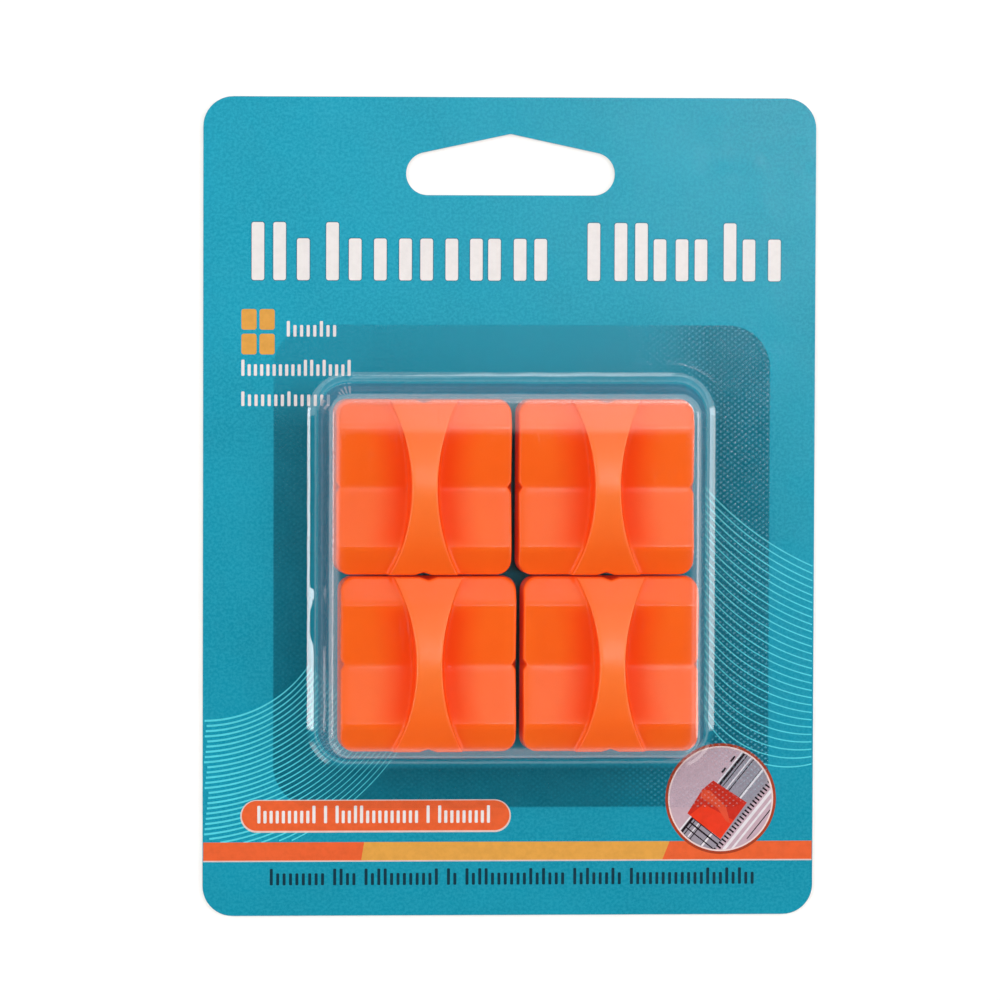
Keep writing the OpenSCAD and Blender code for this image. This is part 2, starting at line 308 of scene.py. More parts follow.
def cap_plastic():
    """Satin orange moulding: flow clouds, a painted sheen on the ridge, painted shade in the dishes beside
    it, a faint painted red glow, and rubbed marks.
    """
    s = Shader("orange_cap")
    flow = s.noise(7.0, 2.0, 0.5, s.moved((1.0, 0.5, 1.0)))
    tone = s.colours(flow, [(0.30, (0.94, 0.118, 0.0065)), (0.70, (0.97, 0.132, 0.0080))])
    # painted sheen: the ridge is mixed towards a paler orange, most at its middle
    tone = s.mix_colour(s.stored("ridge_painted_sheen"), tone, RIDGE_SHEEN_ORANGE)
    # painted shade: the dishes are mixed towards a deeper orange beside the ridge, with less shine there
    dish_painted_shade = s.stored("dish_painted_shade")
    tone = s.mix_colour(dish_painted_shade, tone, DISH_SHADE_ORANGE)
    rub = s.noise(1.1, 4.0, 0.75, s.moved((0.35, 1.6, 1.0), 0.5))
    roughness = s.ramp(rub, 0.35, 0.72, 0.17, 0.25)
    soft = s.bump(s.noise(5.0, 1.0), 0.012)
    normal = s.bump(s.noise(0.22, 2.0, 0.6), 0.0022, soft)
    shine = s.ramp(dish_painted_shade, 0.0, 1.0, 0.5, 0.12)
    # painted glow: the caps give off a faint red light, which lifts their shaded faces and the gaps between
    # them
    return s.principled(tone, roughness, normal, IOR=1.44, Specular_IOR_Level=shine,
                        Emission_Color=(1.0, 0.05, 0.0, 1.0), Emission_Strength=0.08)


def plain_plastic(name, dark, light, patch_mm, dull, sheen_mm, grain_mm, grain_depth, index):
    """Moulded plastic with faint clouds of colour, uneven sheen and a mould grain."""
    s = Shader(name)
    tone = s.colours(s.noise(patch_mm, 2.0), [(0.3, dark), (0.7, light)])
    roughness = s.mottle(sheen_mm, *dull, detail=3.0)
    return s.principled(tone, roughness, s.bump(s.noise(grain_mm, 2.0), grain_depth), IOR=index)


def worked_steel(name, dark, light, line_mm, stretch, cuts, dull, depth):
    """Bare steel with fine lines from grinding or drawing."""
    s = Shader(name)
    lines = s.noise(line_mm, 3.0, 0.7, s.moved((1.0, 1.0, stretch)))
    tone = s.colours(lines, [(cuts[0], dark), (cuts[1], light)])
    return s.principled(tone, s.ramp(lines, 0.3, 0.7, *dull), s.bump(lines, depth), Metallic=1.0)


PVC_INDEX = 1.53
CLEAR_TINT = (0.975, 0.985, 0.99)
# painted shade colour of the walls seen at a grazing angle
GRAZING_WALL_SHADE = (0.36, 0.50, 0.62)
# lilac haze colour of the pocket, which also paints the glare of the rim band
HAZE_AND_GLARE_WHITE = (0.84, 0.83, 0.92)
KNURL_WHITE = (0.50, 0.86, 0.97)


def sheet_shader(name, tint, roughness, normal_maker, haze_maker, haze_colour, gain, most_mirror):
    """Clear sheet seen from outside, with some haze, a mirror share that grows at low angles, and painted
    shade on walls seen at a grazing angle.
    """
    s = Shader(name)
    normal, haze = normal_maker(s), haze_maker(s)
    geometry = s.add("NewGeometry").outputs
    outside = s.minus(1.0, geometry["Backfacing"])
    upright = s.ramp(s.split(geometry["Normal"])["Z"], 0.15, 0.45, 1.0, 0.0)
    grazing = s.ramp(s.add("LayerWeight").outputs["Facing"], 0.55, 0.80)
    on_wall = s.times(s.times(upright, outside), grazing)
    # painted shade: on the walls seen at a grazing angle the sheet lets through a dark blue-grey, standing in
    # for their Fresnel loss and dark reflections
    clear = s.surface("Transparent", Color=s.mix_colour(on_wall, tint, GRAZING_WALL_SHADE))
    smear = s.mottle(4.0, roughness * 0.7, roughness * 1.4)
    dull = s.math("MULTIPLY_ADD", haze, 0.9, smear)
    mirror = s.surface("Glossy", Color=(1, 1, 1, 1), Roughness=dull, Normal=normal)
    fresnel = s.add("Fresnel", {"IOR": PVC_INDEX, "Normal": normal}).outputs["Fac"]
    share = s.times(s.math("MINIMUM", s.times(fresnel, gain), most_mirror), outside)
    haze_and_glare, glow = (s.surface(kind, Color=(*haze_colour, 1)) for kind in ("Diffuse", "Translucent"))
    return s.finish(s.blend(haze, s.blend(share, clear, mirror), s.blend(0.45, haze_and_glare, glow)))


def pocket_normal(s):
    """Long drawing waves left by the forming on the walls, none on the flat roof."""
    facing = s.split(s.add("NewGeometry").outputs["Normal"])
    on_wall = s.ramp(facing["Z"], 0.80, 0.97, 1.0, 0.0)
    return s.bump(s.times(s.noise(6.0, 2.0, 0.45), on_wall), 0.010)


def scuffs(s, most):
    """Fine rubbed hairs in two directions, in patches, as a share of haze."""
    patch = s.ramp(s.noise(14.0, 2.0), 0.48, 0.70)
    first = s.ramp(s.noise(0.30, 3.0, 0.7, s.moved((1.0, 0.05, 1.0), 0.5)), 0.60, 0.74)
    second = s.ramp(s.noise(0.28, 3.0, 0.7, s.moved((1.0, 0.06, 1.0), -1.0)), 0.62, 0.76)
    return s.times(s.times(s.math("MAXIMUM", first, second), patch), most)


def pocket_haze_and_glare(s):
    """Haze of the stretched rim, partly real whitening and partly a painted glare of the bright rim band,
    stored on the mesh, with light scuffs everywhere.
    """
    rim = s.stored("rim_haze_and_glare")
    return s.plus(rim, s.plus(scuffs(s, 0.08), 0.001), clamp=True)


def flange_normal(s):
    return s.bump(knurl(s), 0.006, s.bump(s.noise(7.0, 2.0), 0.008))


def flange_haze(s):
    return s.plus(scuffs(s, 0.07), s.ramp(knurl(s), 0.42, 0.80, 0.0, 0.27), clamp=True)


def sheet_inside():
    """Inner face of the clear sheet: it only lets light through."""
    s = Shader("pvc_inside")
    dust = s.colours(s.noise(3.0, 3.0), [(0.3, (0.97, 0.975, 0.98)), (0.7, (0.99, 0.99, 0.995))])
    return s.finish(s.surface("Transparent", Color=dust))


# ---- mesh helpers


def build(name, points_mm, faces, body, materials=(), indices=None, smooth=True, sharp=None):
    """Makes a mesh object from points in the row frame and rides it on a CAD body."""
    mesh = bpy.data.meshes.new(name)
    points = [tuple(float(c) * MM for c in p) for p in points_mm]
    mesh.from_pydata(points, [], faces)
    mesh.validate()
    for material in materials:
        mesh.materials.append(material)
    if indices is not None:
        mesh.polygons.foreach_set("material_index", indices)
    mesh.polygons.foreach_set("use_smooth", [smooth] * len(mesh.polygons))
    if sharp is not None:
        mesh.set_sharp_from_angle(angle=deg(sharp))
    mesh.update()
    piece = bpy.data.objects.new(name, mesh)
    bpy.context.scene.collection.objects.link(piece)
    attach(piece, body)
    return piece


def joined(shells):
    points, faces = [], []
    for more_points, more_faces in shells:
        start = len(points)
        points += list(more_points)
        faces += [tuple(start + v for v in face) for face in more_faces]
    return points, faces


def plate(outline, z0, z1):
    """Closed flat plate from an outline, anticlockwise."""
    n = len(outline)
    points = [(x, y, z) for z in (z0, z1) for x, y in outline]
    faces = [tuple(range(n))[::-1], tuple(range(n, 2 * n))]
    return points, faces + [(k, (k + 1) % n, n + (k + 1) % n, n + k) for k in range(n)]


def grid_faces(table, flip):
    """Quads between the rows of a table of vertex numbers."""
    faces = []
    for row, above in zip(table, table[1:]):
        for j in range(len(row) - 1):
            quad = (row[j], row[j + 1], above[j + 1], above[j])
            faces.append(quad[::-1] if flip else quad)
    return faces


def store_value(piece, name, values):
    stored = piece.data.attributes.new(name, "FLOAT", "POINT")
    stored.data.foreach_set("value", values)


def node_centre(name):
    low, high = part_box(name)
    return (low + high) / (2 * MM)


CARD_LOW, CARD_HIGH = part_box("backing_card")
FRONT_Z = CARD_HIGH.z / MM
CARD_HALF_W = (CARD_HIGH.x - CARD_LOW.x) / (2 * MM)

# ---- cap

CAP_HALF = 17.35
CAP_R = 2.8
EDGE = 0.45
WAIST_HALF = 2.5
RIDGE_ARC = 37.0
CREST_Y = 12.2
CROWN_Z, KNEE_Z, CREST_Z = 14.0, 12.2, 10.7
RIDGE_FALL = (KNEE_Z - 9.6) / (CAP_HALF - CREST_Y)
SCOOP_FALL = (CREST_Z - 7.6) / (CAP_HALF - CREST_Y)
VALLEY_RISE = (CREST_Z - 8.9) / CREST_Y
CREST_SOFT = 0.8
SKIRT_SPREAD = 0.42
SKIRT_Z, SKIRT_T = 2.6, 1.1
EAVE_Z, CEILING_Z = 7.0, 7.8
SKIRT_RISE = EAVE_Z - SKIRT_Z
SIDE_NOTCH = (0.7, 1.1)
END_NOTCH = (0.6, 1.7)
NOTCH_START = 13.4
TOP_FILLET, FOOT_FILLET = 0.35, 0.8
WALL_LEAN = deg(6)
SPRING_Y = 11.0
CORNER = CAP_HALF - CAP_R


def clamped(t):
    return min(1.0, max(0.0, t))


def bent(t, slope_in, slope_out, half):
    """Two straight slopes that meet at t = 0, rounded over the given half width."""
    if t < -half:
        return slope_in * t
    if t > half:
        return slope_out * t
    return slope_in * t + (slope_out - slope_in) * (t + half) ** 2 / (4 * half)


def scoop_height(y):
    soft = 1.2
    a = abs(y)
    a = a * a / (2 * soft) + soft / 2 if a < soft else a
    return CREST_Z + bent(a - CREST_Y, VALLEY_RISE, -SCOOP_FALL, CREST_SOFT)


def ridge_line(y):
    a = abs(y)
    rise = CROWN_Z - KNEE_Z
    radius = (CREST_Y**2 + rise**2) / (2 * rise)
    if a <= CREST_Y:
        return CROWN_Z - radius + sqrt(radius**2 - a * a)
    return KNEE_Z - RIDGE_FALL * (a - CREST_Y)


def ridge_height(y):
    """Crown line with its bends rounded by averaging over a short span."""
    return sum(ridge_line(y + shift) for shift in (-1.0, -0.5, 0.0, 0.5, 1.0)) / 5


def ridge_half(y):
    return WAIST_HALF + RIDGE_ARC - sqrt(RIDGE_ARC**2 - y * y)


def side_notch(y):
    return SIDE_NOTCH[0] * max(0.0, 1 - abs(y) / SIDE_NOTCH[1])


def end_notch(x):
    return END_NOTCH[0] * max(0.0, 1 - abs(x) / END_NOTCH[1])


def outline_x(y, inset, notched=1.0):
    """Half width of the cap's outline at y, for an outline moved in by inset."""
    a = abs(y)
    if a <= CORNER:
        return CAP_HALF - inset - notched * side_notch(y)
    r = CAP_R - inset
    return CORNER + sqrt(max(0.0, r * r - (a - CORNER) ** 2))


TOP_SHARES = (0.0, 0.135, 0.27, 0.45, 0.63, 0.82, 1.0)
FILLET_STEPS = (21, 42, 63, 84)
WALL_STEPS = (0.33, 0.67)
FOOT_STEPS = (6, 20, 36, 54, 72, 90)
FLOOR_STEPS = 11


def half_section(y, x_end):
    """Points (x, z) from the ridge's middle, over its edge, down its wall and out along the scoop."""
    half, top, low = ridge_half(y), ridge_height(y), scoop_height(y)
    line = [(share * (half - TOP_FILLET), top) for share in TOP_SHARES]
    for degrees in FILLET_STEPS:
        a = deg(degrees)
        line.append((half - TOP_FILLET * (1 - sin(a)), top - TOP_FILLET * (1 - cos(a))))
    x1, z1 = line[-1]
    foot = min(FOOT_FILLET, 0.6 * (z1 - low))
    z_foot = low + foot * (1 - sin(WALL_LEAN))
    x_foot = x1 + (z1 - z_foot) * tan(WALL_LEAN)
    for share in WALL_STEPS:
        line.append((x1 + share * (x_foot - x1), z1 + share * (z_foot - z1)))
    centre_x = x_foot + foot * cos(WALL_LEAN)
    centre_z = low + foot
    for degrees in FOOT_STEPS:
        a = deg(degrees)
        line.append((centre_x - foot * cos(a), centre_z - foot * sin(a)))
    for i in range(1, FLOOR_STEPS + 1):
        line.append((centre_x + (x_end - centre_x) * i / FLOOR_STEPS, low))
    return line


def row_places():
    """Places of the grid rows from the middle to the inset end, closer at notches, crests and corners."""
    places = [0.0, 0.55, 1.1, 1.7, 2.7, 3.9, 5.2, 6.6, 8.0, 9.3, 10.4, 11.0]
    places += [CREST_Y + CREST_SOFT * t for t in (-1.0, -0.7, -0.35, 0.0, 0.35, 0.7, 1.0)]
    places += [13.5, 14.1, CORNER]
    turn = CAP_R - EDGE
    places += [CORNER + turn * sin(deg(a)) for a in (11, 22, 34, 46, 58, 70, 80, 90)]
    return places


def top_point(section, j, y):
    """Point j of a mirrored section at row y, moved by the end notch. j runs from minus to plus."""
    x, z = section[abs(j)]
    x = copysign(x, j) if j else 0.0
    notch_share = clamped((abs(y) - NOTCH_START) / (CAP_HALF - EDGE - NOTCH_START))
    moved = y - copysign(notch_share * end_notch(x), y)
    on_ridge = abs(j) < len(TOP_SHARES) + len(FILLET_STEPS)
    shift = ridge_height(moved) - ridge_height(y) if on_ridge else 0.0
    return (x, moved, z + shift)


class CapGrid:
    """The cap's shell: an upper grid, rings down the outside and up the inside, and a ceiling grid."""

    def __init__(self):
        half_rows = row_places()
        self.rows = [-y for y in half_rows[:0:-1]] + half_rows
        self.reach = len(half_section(0.0, 17.0)) - 1
        self.columns = list(range(-self.reach, self.reach + 1))
        self.points = []
        self.faces = []

    def add_grid(self, place, flip):
        """Adds a point for each row and column with quads between them; returns the ring round its edge."""
        start, width = len(self.points), len(self.columns)
        self.points += [place(i, y, j) for i, y in enumerate(self.rows) for j in self.columns]
        table = np.arange(start, len(self.points)).reshape(-1, width).tolist()
        self.faces += grid_faces(table, flip)
        return [table[i][j + self.reach] for i, j in self.rim_keys()]

    def rim_keys(self):
        """(row, column) pairs round the grid's edge, anticlockwise seen from above."""
        last_row, last = len(self.rows) - 1, self.reach
        keys = [(0, j) for j in range(-last, last)]
        keys += [(i, last) for i in range(last_row)]
        keys += [(last_row, j) for j in range(last, -last, -1)]
        keys += [(i, -last) for i in range(last_row, 0, -1)]
        return keys

    def add_ring(self, ring, **where):
        """Adds points on the outer outline, joins them to the given ring and returns them as a ring."""
        start = len(self.points)
        self.points += [outer_place(self, i, j, **where) for i, j in self.rim_keys()]
        new = list(range(start, len(self.points)))
        self.bridge(ring, new)
        return new

    def bridge(self, ring_a, ring_b):
        count = len(ring_a)
        for k in range(count):
            m = (k + 1) % count
            self.faces.append((ring_a[k], ring_b[k], ring_b[m], ring_a[m]))


def outer_place(grid, i, j, inset, drop=None, z=None, notched=1.0):
    """Point of the outer outline moved in by inset: on the cap's own surface less drop, or at height z."""
    y = grid.rows[i]
    last_row = len(grid.rows) - 1
    if z is not None:
        notched *= clamped((z - SKIRT_Z) / SKIRT_RISE)
    if i in (0, last_row) and abs(j) < grid.reach:
        y_new = copysign(CAP_HALF - inset, y)
        section = half_section(y_new, outline_x(y, EDGE))
        x, moved, height = top_point(section, j, y_new)
        moved = y_new + notched * (moved - y_new)
        return (x, moved, height - drop if z is None else z)
    side = copysign(1.0, j)
    if abs(y) <= CORNER:
        x_new = CAP_HALF - inset - notched * side_notch(y)
        y_new = y
    else:
        turn = asin(min(1.0, (abs(y) - CORNER) / (CAP_R - EDGE)))
        x_new = CORNER + (CAP_R - inset) * cos(turn)
        y_new = copysign(CORNER + (CAP_R - inset) * sin(turn), y)
    if z is not None and inset < SKIRT_T / 2:
        x_new += SKIRT_SPREAD * (EAVE_Z - z) / SKIRT_RISE
    return (side * x_new, y_new, scoop_height(y_new) - drop if z is None else z)


def ceiling_place(grid, i, y, j):
    """Point of the cap's inner ceiling, which hangs lower beyond the crests."""
    z = CEILING_Z if abs(y) < CREST_Y else EAVE_Z
    if i in (0, len(grid.rows) - 1) or abs(j) == grid.reach:
        return outer_place(grid, i, j, SKIRT_T, z=z, notched=0.0)
    if abs(y) < CORNER:
        half = outline_x(y, SKIRT_T, 0.0)
    else:
        half = outer_place(grid, i, grid.reach, SKIRT_T, z=0.0, notched=0.0)[0]
    return (j / grid.reach * abs(half), y * (CAP_HALF - SKIRT_T) / (CAP_HALF - EDGE), z)


def cap_shell():
    grid = CapGrid()
    sections = [half_section(y, outline_x(y, EDGE)) for y in grid.rows]
    ring = grid.add_grid(lambda i, y, j: top_point(sections[i], j, y), False)
    for degrees in (15, 33, 51, 70, 90):
        a = deg(degrees)
        ring = grid.add_ring(ring, inset=EDGE * (1 - sin(a)), drop=EDGE * (1 - cos(a)))
    for inset, z in ((0.0, 5.6), (0.0, 3.6), (0.0, SKIRT_Z + 0.22), (0.06, SKIRT_Z + 0.06), (0.22, SKIRT_Z)):
        ring = grid.add_ring(ring, inset=inset, z=z)
    for inset, z in ((SKIRT_T - 0.15, SKIRT_Z), (SKIRT_T, SKIRT_Z + 0.15), (SKIRT_T, 5.0)):
        ring = grid.add_ring(ring, inset=inset, z=z, notched=0.0)
    grid.bridge(ring, grid.add_grid(lambda i, y, j: ceiling_place(grid, i, y, j), True))
    return grid.points, grid.faces


def box_shell(low, high, chamfer=0.12):
    """Box with its long upright edges bevelled, as points and faces."""
    (x0, y0, z0), (x1, y1, z1) = low, high
    c = chamfer
    outline = [(x0 + c, y0), (x1 - c, y0), (x1, y0 + c), (x1, y1 - c)]
    outline += [(x1 - c, y1), (x0 + c, y1), (x0, y1 - c), (x0, y0 + c)]
    return plate(outline, z0, z1)


def tube_faces(rings, sides):
    """Closed skin over rings of points that follow each other, with a cap on both ends."""
    last = (rings - 1) * sides
    faces = [tuple(range(sides)), tuple(range(last, last + sides))[::-1]]
    for a in range(0, last, sides):
        for k in range(sides):
            m = (k + 1) % sides
            faces.append((a + m, a + k, a + sides + k, a + sides + m))
    return faces


def peg_shell(x, y_in, y_out, z, radius, head_r, head_h):
    """Staked peg along -Y with a domed head."""
    sides = 20
    stations = [(y_in, radius), (y_out, radius), (y_out, head_r), (y_out - 0.5 * head_h, head_r * 0.94),
                (y_out - 0.85 * head_h, head_r * 0.6), (y_out - head_h, head_r * 0.15)]
    points = []
    for y, r in stations:
        for k in range(sides):
            a = 2 * pi * k / sides
            points.append((x + r * cos(a), y, z + r * sin(a)))
    return points, tube_faces(len(stations), sides)


def cap_inner_parts():
    """Rib behind the blade, two staked pegs and four snap barbs."""
    parts = [box_shell((-6.0, 0.23, 5.0), (6.0, 1.73, CEILING_Z + 0.05))]
    for x in (-3.6, 3.6):
        parts.append(peg_shell(x, y_in=0.3, y_out=-1.76, z=6.3, radius=0.55, head_r=0.95, head_h=0.4))
    wall = CAP_HALF - SKIRT_T
    for x in (-9.0, 9.0):
        for s in (-1, 1):
            y0, y1 = sorted((s * (wall - 0.6), s * (wall + 0.05)))
            parts.append(box_shell((x - 2, y0, SKIRT_Z + 0.02), (x + 2, y1, SKIRT_Z + 0.82)))
    return parts


def cut_spring_pockets(mesh):
    """Two blind bores for the return springs, cut from below."""
    radius, depth, middle_z = 2.5 * MM, 5.9 * MM, 7.95 * MM
    target = bpy.data.objects.new("cap_blank", mesh)
    bpy.context.scene.collection.objects.link(target)
    for y in (-SPRING_Y * MM, SPRING_Y * MM):
        place = (0, y, middle_z)
        bpy.ops.mesh.primitive_cylinder_add(vertices=40, radius=radius, depth=depth, location=place)
        drill = bpy.context.active_object
        cut = target.modifiers.new("bore", "BOOLEAN")
        cut.operation = "DIFFERENCE"
        cut.solver = "EXACT"
        cut.object = drill
        evaluated = target.evaluated_get(bpy.context.evaluated_depsgraph_get())
        bored = bpy.data.meshes.new_from_object(evaluated)
        target.modifiers.clear()
        target.data = bored
        bpy.data.objects.remove(drill)
    bpy.data.objects.remove(target)
    return bored


# painted sheen along the ridge: share of the paler orange at each y, most at the middle
RIDGE_SHEEN_SHARES = ((-17.4, 0.0), (-12.0, 0.15), (-6.0, 0.6), (0.0, 1.0), (6.0, 0.9), (12.0, 0.4), (17.4, 0.25))


def cap_sheen_and_shade(x, y, z):
    """Share of the painted ridge sheen and of the painted shade in the dishes beside the ridge at a point of
    the cap.
    """
    away = abs(x) - ridge_half(y)
    if z < scoop_height(y) - 0.2:
        return 0.0, 0.0
    if away < 0.15 and z > ridge_height(y) - 0.6:
        return float(np.interp(y, *zip(*RIDGE_SHEEN_SHARES))), 0.0
    return 0.0, clamped((7.5 - away) / 5.0) * (1 - clamped((abs(y) - 10.0) / 3.5))


def make_caps(material):
    shell = bpy.data.meshes.new("cap_shell")
    points, faces = cap_shell()
    shell.from_pydata([tuple(c * MM for c in p) for p in points], [], faces)
    shell.validate()
    bored = cut_spring_pockets(shell)
    points = [tuple(c / MM for c in v.co) for v in bored.vertices]
    faces = [tuple(p.vertices) for p in bored.polygons]
    points, faces = joined([(points, faces), *cap_inner_parts()])
    tones = [cap_sheen_and_shade(*point) for point in points]
    for i in CARTRIDGES:
        centre = node_centre(f"press_cap_{i}")
        placed = [(x + centre.x, y + centre.y, z + FRONT_Z) for x, y, z in points]
        body = f"cutter_head_{i}"
        piece = build(f"press_cap_shell_{i}", placed, faces, body, [material], sharp=38)
        for name, values in zip(("ridge_painted_sheen", "dish_painted_shade"), zip(*tones)):
            store_value(piece, name, values)
        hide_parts(f"press_cap_{i}")


# ---- springs


def helix(centre_x, centre_y, low, high, radius, wire, turns):
    """Round wire coil with closed ends, as points and faces."""
    per_turn, sides = 30, 8
    steps = round(turns * per_turn)
    points = []
    for i in range(steps + 1):
        t = i / per_turn
        closed = wire * 1.02
        if t < 1:
            z = low + closed * t
        elif t > turns - 1:
            z = high - closed * (turns - t)
        else:
            z = low + closed + (high - low - 2 * closed) * (t - 1) / (turns - 2)
        a = 2 * pi * t
        for k in range(sides):
            b = 2 * pi * k / sides
            r = radius + wire / 2 * cos(b)
            points.append((centre_x + r * cos(a), centre_y + r * sin(a), z + wire / 2 * sin(b)))
    return points, tube_faces(steps + 1, sides)


def make_springs(material):
    wire, travel = 0.36, 2.4
    for i in CARTRIDGES:
        centre = node_centre(f"press_cap_{i}")
        for end, side in (("rear", 1), ("front", -1)):
            node = f"{end}_spring_{i}"
            low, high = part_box(node)
            z0, z1 = low.z / MM, high.z / MM
            x, y = centre.x, centre.y + side * SPRING_Y
            points, faces = helix(x, y, z0 + wire / 2, z1 - wire / 2, 1.9, wire, 5.5)
            piece = build(f"{end}_coil_{i}", points, faces, "pack", [material])
            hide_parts(node)
            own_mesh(piece)


# ---- blister

ROOF_CORNER, TOP_INSET = 4.0, 3.7
SHEET = 0.35
FLANGE_TOP_Z = 1.0
ROOF_TOP_Z = 15.45
FLARE_R, THROAT_R, RIM_R = 5.4, 1.8, 1.6
WALL_TILT = deg(81.5)
SIDE_STEPS_X, SIDE_STEPS_Y, CORNER_STEPS = 95, 92, 18
LOOP_COUNT = 2 * (SIDE_STEPS_X + SIDE_STEPS_Y) + 4 * CORNER_STEPS
# rings over the roof's edge and the haze of rim and wall: the rim's haze is partly stretch whitening and
# partly painted glare of the bright rim band
ROOF_RINGS = ((0.2, 0.16), (0.45, 0.09), (0.75, 0.03), (1.1, 0.01), (2.0, 0.0))
RIM_HAZE_AND_GLARE, WALL_HAZE, RIGHT_HAZE_SHARE = 0.19, 0.055, 0.6
RIPPLE_MM, RIPPLE_DEPTH = 9.0, 0.06
OUTSIDE, INSIDE, FLANGE = 0, 1, 2


def rounded_loop(half, radius):
    """Points round a rounded rectangle, anticlockwise, with fixed counts along each side and corner."""
    w, h = half[0] - radius, half[1] - radius
    centres = np.array([(w, -h), (w, h), (-w, h), (-w, -h), (w, -h)])
    points = []
    for side, count in enumerate((SIDE_STEPS_Y, SIDE_STEPS_X) * 2):
        turn = side * pi / 2
        start, end = centres[side], centres[side + 1]
        out = radius * np.array([cos(turn), sin(turn)])
        points += [start + out + (end - start) * k / count for k in range(count)]
        for a in turn + np.arange(CORNER_STEPS) / CORNER_STEPS * pi / 2:
            points.append(end + radius * np.array([cos(a), sin(a)]))
    return np.array(points)


def pocket_loop(inset):
    radius = POCKET_CORNER - (POCKET_CORNER - ROOF_CORNER) / TOP_INSET * inset
    return rounded_loop(np.subtract(POCKET_HALF, inset), max(radius, 1.2))


def pocket_profile(offset):
    """(inset, height, tilt) up the pocket wall from flange to roof, for a face moved in by offset."""
    flare, throat, rim = FLARE_R + offset, THROAT_R + offset, RIM_R - offset
    turn = deg(45)
    roof_i = TOP_INSET + RIM_R * tan(WALL_TILT / 2) - 0.06
    rim_start = roof_i - RIM_R * sin(WALL_TILT)
    rim_z = ROOF_TOP_Z - RIM_R * (1 - cos(WALL_TILT))
    throat_z = FLANGE_TOP_Z + FLARE_R * (1 - cos(turn)) + THROAT_R * (cos(turn) - cos(WALL_TILT))
    throat_i = rim_start - (rim_z - throat_z) / tan(WALL_TILT)
    flare_i = throat_i - FLARE_R * sin(turn) - THROAT_R * (sin(WALL_TILT) - sin(turn))
    line = []
    for a in np.linspace(0, turn, 15):
        line.append((flare_i + flare * sin(a), FLANGE_TOP_Z + FLARE_R - flare * cos(a), a))
    join_i = flare_i + (FLARE_R - THROAT_R) * sin(turn)
    join_z = FLANGE_TOP_Z + FLARE_R - (FLARE_R - THROAT_R) * cos(turn)
    for a in np.linspace(turn, WALL_TILT, 9)[1:]:
        line.append((join_i + throat * sin(a), join_z - throat * cos(a), a))
    i0, z0, _ = line[-1]
    i1 = roof_i - rim * sin(WALL_TILT)
    z1 = ROOF_TOP_Z - RIM_R + rim * cos(WALL_TILT)
    for t in np.linspace(0, 1, 12)[1:]:
        line.append((i0 + (i1 - i0) * t, z0 + (z1 - z0) * t, WALL_TILT))
    for a in np.linspace(WALL_TILT, 0, 13)[1:]:
        line.append((roof_i - rim * sin(a), ROOF_TOP_Z - RIM_R + rim * cos(a), a))
    return line


def ripple(loop, size, seed):
    """Cheap smooth pattern between -1 and 1 made of a few crossed waves."""
    x, y = loop.T
    rng = np.random.default_rng(seed)
    total = np.zeros_like(x)
    count = 7
    for _ in range(count):
        turn = rng.uniform(0, pi)
        wave = 2 * pi / (size * rng.uniform(0.7, 1.6))
        total += np.sin((x * cos(turn) + y * sin(turn)) * wave + rng.uniform(0, 6.28))
    return total / count


def wall_loop(inset, tilt):
    """Loop of the pocket's wall with waves in and out, which vanish on the flange and on the roof."""
    loop = pocket_loop(inset)
    wave = ripple(loop, RIPPLE_MM, 5) * RIPPLE_DEPTH * sin(min(tilt, pi - tilt))
    return loop + loop / np.linalg.norm(loop, axis=1)[:, None] * wave[:, None]


def drawn(loop, z):
    """Slight lean of the pocket: higher up, its right side lies further in and its lower end further out."""
    up = clamped((z - 3.6) / 10.4)
    moved = loop.copy()
    moved[:, 0] *= np.where(loop[:, 0] > 0, 1 - (0.35 + 0.15 * up) / 39, 1.0)
    moved[:, 1] *= np.where(loop[:, 1] < 0, 1 + 0.5 * up / 36, 1.0)
    return moved


def roof_sides():
    """Places in a loop of its right, upper, left and lower side, each from corner middle to corner middle."""
    rows, columns = SIDE_STEPS_Y + CORNER_STEPS, SIDE_STEPS_X + CORNER_STEPS
    order = (np.arange(LOOP_COUNT + 1) - CORNER_STEPS // 2) % LOOP_COUNT
    a, b, c = rows, rows + columns, 2 * rows + columns
    return order[:a + 1], order[a:b + 1][::-1], order[b:c + 1][::-1], order[c:]


